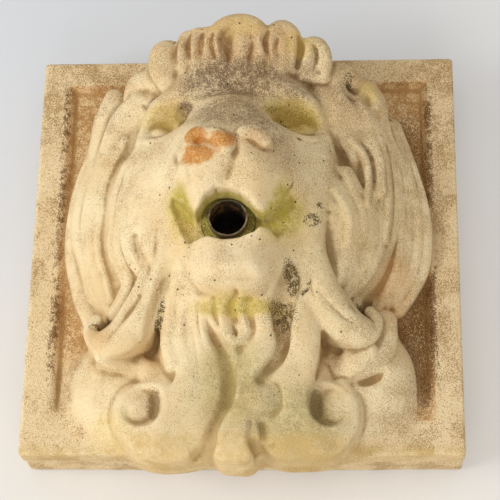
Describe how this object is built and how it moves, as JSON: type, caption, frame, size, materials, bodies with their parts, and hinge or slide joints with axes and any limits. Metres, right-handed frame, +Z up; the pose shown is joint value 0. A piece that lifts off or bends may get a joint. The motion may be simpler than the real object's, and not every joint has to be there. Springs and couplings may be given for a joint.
{
  "type": "garden wall fountain",
  "caption": "Cast stone wall plaque with a lion's head in relief and a copper spout in its mouth, with a pipe joint and keyhole hangers behind.",
  "frame": {"origin": "centre of the slab's flat back face, on the wall", "axes": "upright as hung: +X to the right, +Z up, the lion looks along -Y, and +Y goes into the wall"},
  "size_m": [0.32, 0.1518, 0.334],
  "materials": {
    "cast_stone": "weathered, sandy cream, with lichen and rust stains",
    "mortar": "rough, stained green",
    "copper": "dull, oxidised",
    "brass": "satin",
    "zinc_plated_steel": "satin, zinc plated",
    "rubber": "matt",
    "nylon": "matt"
  },
  "bodies": {
    "root": {"stone_casting": "cast_stone", "spout_pipe": "copper", "mouth_mortar": "mortar", "rear_mortar": "mortar", "hose_tail": "brass", "tail_washer": "rubber", "coupling_body": "brass", "coupling_olive": "copper", "coupling_nut": "brass", "left_hanger_plate": "zinc_plated_steel", "right_hanger_plate": "zinc_plated_steel", "hanger_screws": "zinc_plated_steel", "screw_plugs": "nylon"}
  },
  "joints": []
}
